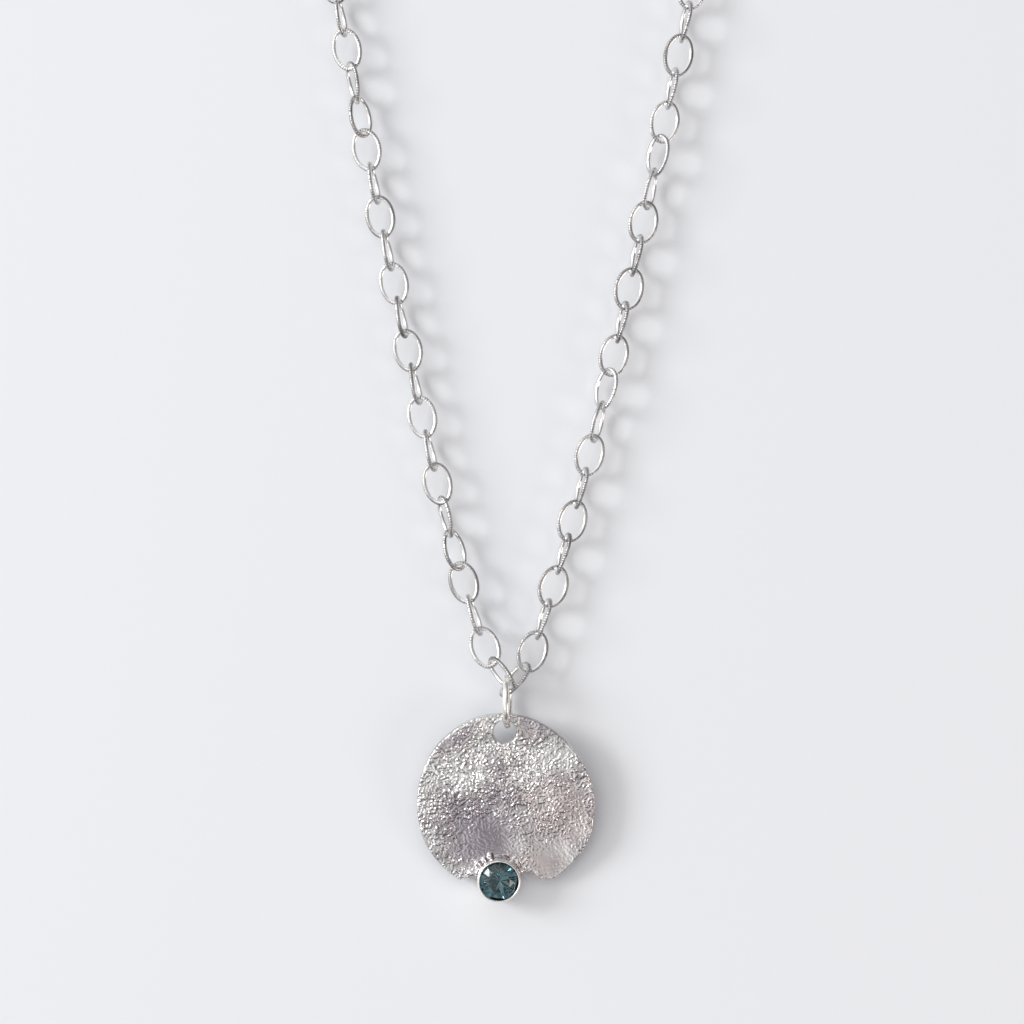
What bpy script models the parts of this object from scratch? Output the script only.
"""A pendant necklace of sterling silver, lying on a surface at z = 0.

A disc with a bezel-set stone hangs on a jump ring. Two strands of oval cable links leave the ring
and meet behind the neck, where one ends in a trigger clasp and the other in a catch ring. The clasp
is undone: its nose lies just short of the ring. Metres, +Z up, pendant towards -Y, clasp towards +Y.
Every moving piece is the child of an empty on its joint, and the empty's local Z is the joint's axis.
"""

import math

import bmesh
import bpy
from mathutils import Matrix, Vector

MM = 0.001
UP = Vector((0, 0, 1))

# Disc, in the pendant's own frame: its flat back is z = 0, +Y runs towards the jump ring.
DISC_RADIUS = 9.0 * MM
DISC_THICKNESS = 0.9 * MM
DISC_TRIM = 7.62 * MM
DISC_BULGES = ((0.014, 160), (0.012, 115), (0.010, 220))
DISC_STEPS = 72
HOLE_RADIUS = 1.15 * MM
HOLE_CENTRE = (-0.17 * MM, 7.35 * MM)

# Bezel cup and stone, about the cup's own axis.
BEZEL_CENTRE = (-0.75 * MM, -7.50 * MM)
BEZEL_RADIUS = 2.25 * MM
BEZEL_HEIGHT = 2.6 * MM
BEZEL_BORE = 1.5 * MM
BEZEL_LIP = 1.93 * MM
SEAT_RADIUS = 2.04 * MM
STONE_RADIUS = 2.0 * MM
STONE_TABLE = 1.12 * MM
STONE_CROWN = 0.58 * MM
STONE_PAVILION = 1.66 * MM
STONE_GIRDLE = 0.08 * MM
GIRDLE_HEIGHT = 2.18 * MM
FIT_GAP = 0.03 * MM

# Where the disc's centre lies, in plan from the jump ring's centre.
PENDANT_AT = (-0.10 * MM, -10.26 * MM)

# Jump ring: upright, its plane turned a little about +Y so that its near and far halves both show.
JUMP_RADIUS = 2.42 * MM
JUMP_WIRE = 0.65 * MM
JUMP_HEIGHT = 2.79 * MM
JUMP_TURN = math.radians(-4)

# Chain links. Reaches are from a link's centre to the middle of its wire.
LINK_REACH = 1.99 * MM
LINK_HALF_WIDTH = 1.32 * MM
LINK_WIRE = 0.46 * MM
LINK_PITCH = 3.41 * MM
CHAIN_HEIGHT = 1.53 * MM
END_PLAY = 0.12 * MM
FRONT_LINKS = 20
REAR_SEGMENTS = (12, 12, 6, 6)
FUSED_REACH = 1.885 * MM
SLIP_LINKS = 3
ROLL_LEAN = math.radians(12)

# Rings and clasp.
CLASP_RING_RADIUS = 1.6 * MM
CLASP_RING_WIRE = 0.6 * MM
CATCH_RING_RADIUS = 2.1 * MM
CATCH_RING_WIRE = 0.8 * MM
RING_PLAY = 0.12 * MM
EYE_RADIUS = 1.0 * MM
EYE_WIRE = 0.7 * MM
BOSS_LENGTH = (0.9 * MM, 4.6 * MM)
BOSS_SIDES = (-2.25 * MM, 2.5 * MM)
BOSS_THICKNESS = 2.3 * MM
SLOT_WIDTH = 1.2 * MM
SLOT_START = (1.7 * MM, 0.1 * MM)
HOOK_RADIUS = 1.6 * MM
HOOK_WIRE = 1.0 * MM
HOOK_NOSE = 7.0 * MM
PIN_AT = (3.3 * MM, 1.6 * MM)
PIN_RADIUS = 0.30 * MM
PIN_BORE = 0.33 * MM
PIN_LENGTH = 2.26 * MM
LEVER_THICKNESS = 0.7 * MM
LEVER_OFFSET = -0.2 * MM
LEVER_ARM = 3.29 * MM
LEVER_HALF_HEIGHT = 0.35 * MM
LEVER_HUB = 0.75 * MM
LEVER_TAB = (-0.9 * MM, 1.5 * MM)
LEVER_TAB_RADIUS = 0.45 * MM
SPRING_RADIUS = 0.45 * MM
SPRING_WIRE = 0.14 * MM
SPRING_TURNS = 1.3
SPRING_HEIGHT = 0.31 * MM
SPRING_RISE = 0.215 * MM
SPRING_LEG = 0.85 * MM

# How each side runs. Headings are degrees from +Y, outwards, at the link numbers given. A slip is
# where the chain's quarter turns fall one behind, spread over three links. The end links,
# number 0, hang in the jump ring on a pivot and a slanting axis of their own.
SIDES = {
    "left": {
        "sign": -1,
        "end_link": {
            "centre": (-0.55, 2.75, 2.86),
            "heading": 45.7,
            "pitch": -33.4,
            "roll": 28.7,
            "pivot": (-0.52, 2.06, 3.11),
            "axis": (-0.60, -0.29, 0.74),
        },
        "headings": ((1, 19.5), (5, 14.0), (9, 12.0), (20, 10.9), (45, 8.5), (55, -90)),
        "slips": (3, 16),
    },
    "right": {
        "sign": 1,
        "end_link": {
            "centre": (0.75, 2.08, 1.47),
            "heading": 41.4,
            "pitch": 3.9,
            "roll": 26.2,
            "pivot": (0.34, 1.26, 1.09),
            "axis": (0.64, -0.49, -0.60),
        },
        "headings": ((1, 18.5), (6, 14.6), (12, 12.4), (20, 11.4), (45, 6.8), (55, -90)),
        "slips": (7, 14, 36),
    },
}


# ---------------------------------------------------------------- materials and mesh helpers


def metal(name, colour, roughness):
    made = bpy.data.materials.new(name)
    made.use_nodes = True
    shader = made.node_tree.nodes["Principled BSDF"]
    shader.inputs["Base Color"].default_value = (*colour, 1)
    shader.inputs["Metallic"].default_value = 1
    shader.inputs["Roughness"].default_value = roughness
    return made


def gem(name, colour):
    made = metal(name, colour, 0.03)
    shader = made.node_tree.nodes["Principled BSDF"]
    shader.inputs["Metallic"].default_value = 0
    shader.inputs["Transmission Weight"].default_value = 0.8
    shader.inputs["IOR"].default_value = 1.62
    return made


def place(obj, world, parent):
    """Put an object at a place in the necklace's frame, as the child of an empty that knows its own."""
    obj.parent = parent
    obj.matrix_basis = Matrix(parent["world"]).inverted() @ world


def remember(empty, world):
    empty["world"] = [list(row) for row in world]


def joint(name, parent, point, axis):
    """An empty on a joint, its local Z along the joint's axis."""
    empty = bpy.data.objects.new("joint_" + name, None)
    empty.empty_display_size = 2 * MM
    bpy.context.scene.collection.objects.link(empty)
    world = Matrix.Translation(point) @ axis.to_track_quat("Z", "Y").to_matrix().to_4x4()
    place(empty, world, parent)
    remember(empty, world)
    return empty


def piece(name, mesh, finish, world, parent):
    obj = bpy.data.objects.new(name, mesh)
    bpy.context.scene.collection.objects.link(obj)
    if not mesh.materials:
        mesh.materials.append(finish)
    place(obj, world, parent)
    return obj


def mesh_from(name, points, faces, smooth_angle=None):
    mesh = bpy.data.meshes.new(name)
    mesh.from_pydata(points, [], faces)
    shape = bmesh.new()
    shape.from_mesh(mesh)
    bmesh.ops.recalc_face_normals(shape, faces=shape.faces)
    shape.to_mesh(mesh)
    shape.free()
    if smooth_angle:
        mesh.shade_smooth()
        mesh.set_sharp_from_angle(angle=math.radians(smooth_angle))
    return mesh


def frame_of(side_axis, long_axis, centre):
    """The matrix of a ring: X across it, Y along it, Z out of its plane."""
    columns = (side_axis, long_axis, side_axis.cross(long_axis))
    turn = Matrix(columns).transposed()
    return Matrix.Translation(centre) @ turn.to_4x4()


def loop_faces(rings, sides, closed):
    """Quads between the rings of a tube, with end caps when it isn't closed on itself."""
    faces = []
    for i in range(rings if closed else rings - 1):
        for j in range(sides):
            a, b = i * sides, (i + 1) % rings * sides
            k = (j + 1) % sides
            faces.append((a + j, a + k, b + k, b + j))
    if not closed:
        faces.append(tuple(range(sides)))
        faces.append(tuple((rings - 1) * sides + j for j in range(sides)))
    return faces


def ring_mesh(name, half_width, reaches, wire, steps, sides):
    """An oval wire ring. reaches are its half lengths towards -Y and +Y, to the middle of the wire."""
    points = []
    for i in range(steps):
        angle = 2 * math.pi * i / steps
        reach = reaches[1] if math.sin(angle) > 0 else reaches[0]
        centre = Vector((half_width * math.cos(angle), reach * math.sin(angle), 0))
        outward = Vector((reach * math.cos(angle), half_width * math.sin(angle), 0)).normalized()
        for j in range(sides):
            turn = 2 * math.pi * j / sides
            points.append(centre + wire / 2 * (math.cos(turn) * outward + math.sin(turn) * UP))
    return mesh_from(name, points, loop_faces(steps, sides, True), 70)


def bar_mesh(name, path, radius, sides):
    """A round bar along a path in the XY plane, with flat ends."""
    points = []
    for i, at in enumerate(path):
        before, after = path[max(i - 1, 0)], path[min(i + 1, len(path) - 1)]
        along = (after - before).normalized()
        across = UP.cross(along)
        for j in range(sides):
            turn = 2 * math.pi * (j + 0.5) / sides
            points.append(at + radius * (math.cos(turn) * across + math.sin(turn) * UP))
    return mesh_from(name, points, loop_faces(len(path), sides, False), 50)


def slab_mesh(name, outline, low, high):
    """An outline in the XY plane, extruded from low to high."""
    count = len(outline)
    points = [(x, y, low) for x, y in outline] + [(x, y, high) for x, y in outline]
    faces = [tuple(range(count)), tuple(range(count, 2 * count))]
    for i in range(count):
        k = (i + 1) % count
        faces.append((i, k, count + k, count + i))
    return mesh_from(name, points, faces, 40)


def turned_mesh(name, profile, steps, smooth_angle=35):
    """A closed profile of (radius, height) turned about Z."""
    points = []
    for i in range(steps):
        angle = 2 * math.pi * i / steps
        points += [(r * math.cos(angle), r * math.sin(angle), z) for r, z in profile]
    return mesh_from(name, points, loop_faces(steps, len(profile), True), smooth_angle)


def circle(centre, radius, steps):
    turns = [2 * math.pi * i / steps for i in range(steps)]
    return [(centre[0] + radius * math.cos(t), centre[1] + radius * math.sin(t)) for t in turns]


def capsule(start, end, radius, steps=6):
    """The outline of a bar with round ends from start to end."""
    aim = math.atan2(end[1] - start[1], end[0] - start[0])
    outline = []
    for centre, first in ((end, aim - math.pi / 2), (start, aim + math.pi / 2)):
        for i in range(steps + 1):
            turn = first + math.pi * i / steps
            outline.append((centre[0] + radius * math.cos(turn), centre[1] + radius * math.sin(turn)))
    return outline


def rounded_box(low, high, radius, steps=4):
    corners = (
        (high[0] - radius, high[1] - radius, 0),
        (low[0] + radius, high[1] - radius, 90),
        (low[0] + radius, low[1] + radius, 180),
        (high[0] - radius, low[1] + radius, 270),
    )
    outline = []
    for x, y, first in corners:
        for i in range(steps + 1):
            turn = math.radians(first + 90 * i / steps)
            outline.append((x + radius * math.cos(turn), y + radius * math.sin(turn)))
    return outline


def helper(name, mesh, target, world=None):
    """An object that only a Boolean uses, in the same place as its target unless world is given."""
    obj = bpy.data.objects.new(name, mesh)
    bpy.context.scene.collection.objects.link(obj)
    obj.hide_render = True
    obj.display_type = "WIRE"
    obj.parent = target.parent
    obj.matrix_basis = target.matrix_basis
    if world:
        place(obj, world, target.parent)
    return obj


def boolean(target, operation, other):
    step = target.modifiers.new(operation.lower(), "BOOLEAN")
    step.operation = operation
    step.solver = "EXACT"
    step.object = other


# ---------------------------------------------------------------- pendant


def disc_outline():
    """A circle that the heat pulled out of round, once, twice and three times about, and that was
    trimmed straight at the bottom."""
    outline = []
    for i in range(DISC_STEPS):
        angle = 2 * math.pi * i / DISC_STEPS
        radius = DISC_RADIUS
        for times, (share, peak) in enumerate(DISC_BULGES, 1):
            radius += DISC_RADIUS * share * math.cos(times * (angle - math.radians(peak)))
        outline.append((radius * math.cos(angle), max(radius * math.sin(angle), -DISC_TRIM)))
    return outline


def stone_mesh():
    """A round brilliant with its girdle at z = 0."""
    eighth = math.pi / 4
    half = math.cos(eighth / 2)
    top, bottom = STONE_GIRDLE / 2, -STONE_GIRDLE / 2
    crown_slope = STONE_CROWN / (STONE_RADIUS - STONE_TABLE)
    crown_mid = 1.58 * MM
    crown_mid_height = top + (STONE_RADIUS - crown_mid * half) * crown_slope
    pavilion_mid = 0.5 * MM
    pavilion_mid_height = bottom - STONE_PAVILION * (1 - pavilion_mid * half / STONE_RADIUS)

    def ring(radius, height, count, first=0.0):
        turns = [first + 2 * math.pi * i / count for i in range(count)]
        return [(radius * math.cos(t), radius * math.sin(t), height) for t in turns]

    points = ring(STONE_TABLE, top + STONE_CROWN, 8)
    points += ring(crown_mid, crown_mid_height, 8, eighth / 2)
    points += ring(STONE_RADIUS, top, 16)
    points += ring(STONE_RADIUS, bottom, 16)
    points += ring(pavilion_mid, pavilion_mid_height, 8, eighth / 2)
    points.append((0, 0, bottom - STONE_PAVILION))
    table, crown, upper, lower, pavilion, culet = 0, 8, 16, 32, 48, 56
    faces = [tuple(range(8))]
    for i in range(8):
        k = (i + 1) % 8
        back = (i - 1) % 8
        two, three = (2 * i + 1) % 16, (2 * i + 2) % 16
        faces.append((table + i, table + k, crown + i))
        faces.append((table + i, crown + back, upper + 2 * i, crown + i))
        faces.append((crown + i, upper + 2 * i, upper + two))
        faces.append((crown + i, upper + two, upper + three))
        faces.append((culet, pavilion + back, lower + 2 * i, pavilion + i))
        faces.append((pavilion + i, lower + 2 * i, lower + two))
        faces.append((pavilion + i, lower + two, lower + three))
    for i in range(16):
        k = (i + 1) % 16
        faces.append((upper + i, upper + k, lower + k, lower + i))
    return mesh_from("stone", points, faces)


def bezel_profile():
    """The cup's wall, lip, seat and open bore, as (radius, height)."""
    girdle_low = GIRDLE_HEIGHT - STONE_GIRDLE / 2 - FIT_GAP
    lip_low = GIRDLE_HEIGHT + STONE_GIRDLE / 2 + 0.12 * MM
    slope = STONE_PAVILION / STONE_RADIUS
    return [
        (BEZEL_BORE, 0),
        (BEZEL_RADIUS - 0.05 * MM, 0),
        (BEZEL_RADIUS, 0.3 * MM),
        (BEZEL_RADIUS, BEZEL_HEIGHT - 0.3 * MM),
        (BEZEL_RADIUS - 0.12 * MM, BEZEL_HEIGHT - 0.05 * MM),
        (BEZEL_LIP + 0.06 * MM, BEZEL_HEIGHT),
        (BEZEL_LIP, BEZEL_HEIGHT - 0.06 * MM),
        (SEAT_RADIUS, lip_low),
        (SEAT_RADIUS, girdle_low),
        (BEZEL_BORE, girdle_low - (SEAT_RADIUS - BEZEL_BORE) * slope),
    ]


def build_pendant(necklace, ring_frame, silver, bright, teal):
    """The disc, its bezel and its stone. They slide round the jump ring, about the ring's own axis."""
    contact = BEZEL_CENTRE[1] - BEZEL_RADIUS
    strip = (HOLE_CENTRE[1] + HOLE_RADIUS + DISC_RADIUS) / 2
    tilt = math.asin((JUMP_HEIGHT - DISC_THICKNESS / 2) / (strip - contact))
    centre = Vector((PENDANT_AT[0], PENDANT_AT[1], -contact * math.sin(tilt)))
    world = Matrix.Translation(centre) @ Matrix.Rotation(tilt, 4, "X")
    hinge = joint("pendant", necklace, ring_frame.translation, ring_frame.to_3x3() @ -UP)

    disc = piece("pendant_disc", slab_mesh("disc", disc_outline(), 0, DISC_THICKNESS), silver, world, hinge)
    depth = (-1 * MM, DISC_THICKNESS + 1 * MM)
    hole = slab_mesh("hole", circle(HOLE_CENTRE, HOLE_RADIUS, 24), *depth)
    boolean(disc, "DIFFERENCE", helper("hole_cutter", hole, disc))
    notch = slab_mesh("notch", circle(BEZEL_CENTRE, BEZEL_RADIUS + FIT_GAP, 32), *depth)
    boolean(disc, "DIFFERENCE", helper("bezel_notch_cutter", notch, disc))

    seat = world @ Matrix.Translation((*BEZEL_CENTRE, 0))
    piece("bezel_cup", turned_mesh("bezel", bezel_profile(), 32), bright, seat, hinge)
    piece("stone", stone_mesh(), teal, seat @ Matrix.Translation((0, 0, GIRDLE_HEIGHT)), hinge)


# ---------------------------------------------------------------- chain


def direction(sign, heading, pitch=0.0):
    """The unit vector at a heading from +Y, outwards from the necklace, and a pitch above level."""
    level = math.cos(pitch)
    return Vector((sign * math.sin(heading) * level, math.cos(heading) * level, math.sin(pitch)))


def link_frame(centre, along, roll):
    """A link's frame. At roll 0 the link stands on edge, and at 90 degrees it lies flat."""
    level = along.cross(UP).normalized()
    upright = level.cross(along)
    return frame_of(math.cos(roll) * upright + math.sin(roll) * level, along, centre)


def heading_at(side, number):
    """The strand's heading at a link number, straight between the stated ones."""
    stated = side["headings"]
    for (low, start), (high, end) in zip(stated, stated[1:]):
        if number <= high:
            share = (number - low) / (high - low)
            return math.radians(start + share * (end - start))
    return math.radians(stated[-1][1])


def roll_at(side, number):
    """Links alternate by a quarter turn, less a quarter turn for each slip. From link 2 on they all
    lean a little, so that the upright ones show both their sides from above."""
    lost = sum(min(max((number - slip) / SLIP_LINKS, 0), 1) for slip in side["slips"])
    lean = side["sign"] * ROLL_LEAN if number > 1 else 0
    return math.radians(90 * number - 90 * lost) + lean


def swing_axis(sign, along, number):
    """A link swings both ways in its neighbour. Successive joints share the two slanting axes that
    a sideways and an up-and-down swing add up to, each followed by its opposite."""
    outward = sign * along.cross(UP)
    slant = 1 if (number - 1) // 2 % 2 == 0 else -1
    facing = 1 if number % 2 else -1
    return facing * (sign * outward + slant * sign * UP).normalized()


def slip_hinge(side, number, before, frame):
    """In a slip, where neighbours cross at 60 degrees, the tilted one of the two sets the plane of
    the swing, about the other's wire. Returns the hinge's point and axis, or None outside a slip."""
    for slip in side["slips"]:
        if slip < number < slip + SLIP_LINKS:
            return before @ Vector((0, LINK_REACH, 0)), frame.col[2].to_3d()
        if number == slip + SLIP_LINKS:
            return frame @ Vector((0, -LINK_REACH, 0)), before.col[2].to_3d()
    return None


def hook_distance(reach, wire, other_reach, other_wire, play):
    """Between the centres of two rings that hang in each other with play to spare."""
    return reach + other_reach - (wire + other_wire) / 2 - play


def build_strand(name, side, necklace, silver):
    """One strand, from the link on the jump ring to the last rear segment. Returns its far end."""
    sign = side["sign"]
    front = ring_mesh("link", LINK_HALF_WIDTH, (LINK_REACH, LINK_REACH), LINK_WIRE, 12, 6)
    end = side["end_link"]
    centre = Vector(end["centre"]) * MM
    pitch = math.radians(end["pitch"])
    along = direction(sign, math.radians(end["heading"]), pitch)
    hinge = joint(name + "_link_00", necklace, Vector(end["pivot"]) * MM, Vector(end["axis"]).normalized())
    frame = link_frame(centre, along, math.radians(end["roll"]))
    piece(name + "_link_00", front, silver, frame, hinge)

    apart = (LINK_WIRE + END_PLAY) * direction(sign, heading_at(side, 1), pitch)
    hooked = centre + LINK_REACH * along - apart
    contact = hooked + apart / 2
    descent = math.asin((CHAIN_HEIGHT - hooked.z) / (2 * LINK_REACH))
    along = direction(sign, heading_at(side, 1), descent)
    centre = hooked + LINK_REACH * along
    for number in range(1, FRONT_LINKS):
        before = frame
        frame = link_frame(centre, along, roll_at(side, number))
        point, axis = slip_hinge(side, number, before, frame) or (contact, swing_axis(sign, along, number))
        hinge = joint(f"{name}_link_{number:02d}", hinge, point, axis)
        piece(f"{name}_link_{number:02d}", front, silver, frame, hinge)
        step = LINK_PITCH * direction(sign, (heading_at(side, number) + heading_at(side, number + 1)) / 2)
        contact = centre + step / 2
        centre = centre + step
        centre.z = CHAIN_HEIGHT
        along = direction(sign, heading_at(side, number + 1))

    number = FRONT_LINKS
    for segment, size in enumerate(REAR_SEGMENTS, 1):
        swing = FRONT_LINKS + segment - 1
        segment_name = f"rear_{name}_{segment}"
        hinge = joint(segment_name, hinge, contact, swing_axis(sign, along, swing))
        joined = bpy.data.collections.new(segment_name + "_links")
        bpy.context.scene.collection.children.link(joined)
        for i in range(size):
            reaches = (FUSED_REACH if i else LINK_REACH, FUSED_REACH if i < size - 1 else LINK_REACH)
            mesh = ring_mesh("rear_link", LINK_HALF_WIDTH, reaches, LINK_WIRE, 12, 4)
            frame = link_frame(centre, along, roll_at(side, number))
            if i:
                extra = helper(f"{segment_name}_link_{i}", mesh, rear, frame)
                bpy.context.scene.collection.objects.unlink(extra)
                joined.objects.link(extra)
            else:
                rear = piece(segment_name, mesh, silver, frame, hinge)
            last = centre
            last_along = along
            number += 1
            middle = (heading_at(side, number - 1) + heading_at(side, number)) / 2
            step = LINK_PITCH * direction(sign, middle)
            contact = centre + step / 2
            centre = centre + step
            along = direction(sign, heading_at(side, number))
        union = rear.modifiers.new("union", "BOOLEAN")
        union.operation = "UNION"
        union.solver = "EXACT"
        union.operand_type = "COLLECTION"
        union.collection = joined
    return last, last_along, hinge, swing + 1


# ---------------------------------------------------------------- clasp and catch ring


def clasp_body_mesh_parts():
    """The trigger clasp's hook, eye and boss, flat in the XY plane with the eye at the origin."""
    path = [Vector((PIN_AT[0], -HOOK_RADIUS, 0)), Vector((HOOK_NOSE, -HOOK_RADIUS, 0))]
    turns = 8
    for i in range(1, turns + 1):
        angle = math.pi * (i / turns - 0.5)
        path.append(Vector((HOOK_NOSE + HOOK_RADIUS * math.cos(angle), HOOK_RADIUS * math.sin(angle), 0)))
    hook = bar_mesh("hook", path, HOOK_WIRE / 2, 8)
    eye = ring_mesh("eye", EYE_RADIUS, (EYE_RADIUS, EYE_RADIUS), EYE_WIRE, 16, 8)
    low = (BOSS_LENGTH[0], BOSS_SIDES[0])
    high = (BOSS_LENGTH[1], BOSS_SIDES[1])
    boss = slab_mesh("boss", rounded_box(low, high, 1 * MM), -BOSS_THICKNESS / 2, BOSS_THICKNESS / 2)
    return boss, hook, eye


def build_clasp_body(world, hinge, silver):
    boss, hook, eye = clasp_body_mesh_parts()
    body = piece("clasp_body", boss, silver, world, hinge)
    boolean(body, "UNION", helper("clasp_hook", hook, body))
    boolean(body, "UNION", helper("clasp_eye", eye, body))
    past = 1 * MM
    end = (BOSS_LENGTH[1] + past, BOSS_SIDES[1] + past)
    slot = slab_mesh("slot", rounded_box(SLOT_START, end, 0.3 * MM), -SLOT_WIDTH / 2, SLOT_WIDTH / 2)
    boolean(body, "DIFFERENCE", helper("clasp_slot_cutter", slot, body))
    bore = slab_mesh("bore", circle(PIN_AT, PIN_BORE, 16), -BOSS_THICKNESS, BOSS_THICKNESS)
    boolean(body, "DIFFERENCE", helper("clasp_bore_cutter", bore, body))


def build_lever(world, hinge, silver):
    """The gate arm and thumb tab, turning on the pin. Its own origin is on the pin."""
    low = LEVER_OFFSET - LEVER_THICKNESS / 2
    high = LEVER_OFFSET + LEVER_THICKNESS / 2
    hub = slab_mesh("hub", circle((0, 0), LEVER_HUB, 16), low, high)
    lever = piece("clasp_lever", hub, silver, world, hinge)
    inset = 0.03 * MM
    arm = slab_mesh("arm", capsule((0, 0), (LEVER_ARM, 0), LEVER_HALF_HEIGHT), low + inset, high - inset)
    boolean(lever, "UNION", helper("lever_arm", arm, lever))
    tab = slab_mesh("tab", capsule((0, 0), LEVER_TAB, LEVER_TAB_RADIUS), low + 2 * inset, high - 2 * inset)
    boolean(lever, "UNION", helper("lever_tab", tab, lever))
    past = 1 * MM
    bore = slab_mesh("bore", circle((0, 0), PIN_BORE, 16), low - past, high + past)
    boolean(lever, "DIFFERENCE", helper("lever_bore_cutter", bore, lever))


def build_spring(world, parent, silver):
    """A torsion spring of a turn and a third round the pin, one leg down the slot, one along the arm."""
    steps = 16
    turn = 2 * math.pi * SPRING_TURNS
    path = [Vector((-SPRING_RADIUS, -SPRING_LEG, SPRING_HEIGHT))]
    for i in range(steps + 1):
        angle = math.pi - turn * i / steps
        height = SPRING_HEIGHT + SPRING_RISE * i / steps
        path.append(Vector((SPRING_RADIUS * math.cos(angle), SPRING_RADIUS * math.sin(angle), height)))
    last = math.pi - turn
    tangent = Vector((math.sin(last), -math.cos(last), 0))
    path.append(path[-1] + SPRING_LEG * tangent)
    piece("clasp_spring", bar_mesh("spring", path, SPRING_WIRE / 2, 6), silver, world, parent)


def build_clasp(last, along, hinge, swing, silver, steel):
    """The small ring on the last link, and the trigger clasp that hangs in it."""
    distance = hook_distance(LINK_REACH, LINK_WIRE, CLASP_RING_RADIUS, CLASP_RING_WIRE, RING_PLAY)
    at = last + (distance + LINK_REACH - CLASP_RING_RADIUS) / 2 * along
    hinge = joint("clasp_ring", hinge, at, swing_axis(-1, along, swing))
    centre = last + distance * along
    reaches = (CLASP_RING_RADIUS, CLASP_RING_RADIUS)
    ring = ring_mesh("clasp_ring", CLASP_RING_RADIUS, reaches, CLASP_RING_WIRE, 20, 8)
    piece("clasp_ring", ring, silver, link_frame(centre, along, 0), hinge)

    distance = hook_distance(CLASP_RING_RADIUS, CLASP_RING_WIRE, EYE_RADIUS, EYE_WIRE, RING_PLAY)
    at = centre + (distance + CLASP_RING_RADIUS - EYE_RADIUS) / 2 * along
    hinge = joint("clasp", hinge, at, swing_axis(-1, along, swing + 1))
    eye = centre + distance * along
    world = frame_of(along, UP.cross(along), eye)
    build_clasp_body(world, hinge, silver)
    pin_world = world @ Matrix.Translation((*PIN_AT, 0))
    half = PIN_LENGTH / 2
    pin = slab_mesh("pin", circle((0, 0), PIN_RADIUS, 16), -half, half)
    piece("clasp_pin", pin, silver, pin_world, hinge)
    build_spring(pin_world, hinge, steel)
    gate = joint("clasp_lever", hinge, pin_world.translation, -UP)
    build_lever(pin_world, gate, silver)


def build_catch_ring(last, along, hinge, swing, silver):
    distance = hook_distance(LINK_REACH, LINK_WIRE, CATCH_RING_RADIUS, CATCH_RING_WIRE, RING_PLAY)
    at = last + (distance + LINK_REACH - CATCH_RING_RADIUS) / 2 * along
    hinge = joint("catch_ring", hinge, at, swing_axis(1, along, swing))
    reaches = (CATCH_RING_RADIUS, CATCH_RING_RADIUS)
    ring = ring_mesh("catch_ring", CATCH_RING_RADIUS, reaches, CATCH_RING_WIRE, 24, 8)
    centre = last + distance * along
    piece("catch_ring", ring, silver, link_frame(centre, along, math.radians(90)), hinge)


# ---------------------------------------------------------------- the whole necklace


def stand_on_origin(necklace):
    """Move the necklace so that the middle of its bounding box's bottom is the origin."""
    bpy.context.view_layer.update()
    graph = bpy.context.evaluated_depsgraph_get()
    corners = []
    for obj in bpy.context.scene.objects:
        if obj.type == "MESH" and not obj.hide_render:
            shape = obj.evaluated_get(graph)
            corners += [obj.matrix_world @ vertex.co for vertex in shape.data.vertices]
    low = [min(corner[i] for corner in corners) for i in range(3)]
    high = [max(corner[i] for corner in corners) for i in range(3)]
    necklace.location = (-(low[0] + high[0]) / 2, -(low[1] + high[1]) / 2, -low[2])


def main():
    for old in list(bpy.data.objects):
        bpy.data.objects.remove(old, do_unlink=True)
    silver = metal("sterling_silver", (0.86, 0.85, 0.82), 0.3)
    bright = metal("burnished_silver", (0.9, 0.89, 0.86), 0.16)
    steel = metal("spring_steel", (0.6, 0.6, 0.6), 0.35)
    teal = gem("teal_stone", (0.02, 0.16, 0.19))

    necklace = bpy.data.objects.new("necklace", None)
    bpy.context.scene.collection.objects.link(necklace)
    remember(necklace, Matrix())

    upright = Vector((math.sin(JUMP_TURN), 0, math.cos(JUMP_TURN)))
    ring_frame = frame_of(upright, Vector((0, 1, 0)), Vector((0, 0, JUMP_HEIGHT)))
    ring = ring_mesh("jump_ring", JUMP_RADIUS, (JUMP_RADIUS, JUMP_RADIUS), JUMP_WIRE, 24, 8)
    piece("jump_ring", ring, silver, ring_frame, necklace)
    build_pendant(necklace, ring_frame, silver, bright, teal)

    last, along, hinge, swing = build_strand("left", SIDES["left"], necklace, silver)
    build_clasp(last, along, hinge, swing, silver, steel)
    last, along, hinge, swing = build_strand("right", SIDES["right"], necklace, silver)
    build_catch_ring(last, along, hinge, swing, silver)
    stand_on_origin(necklace)


main()
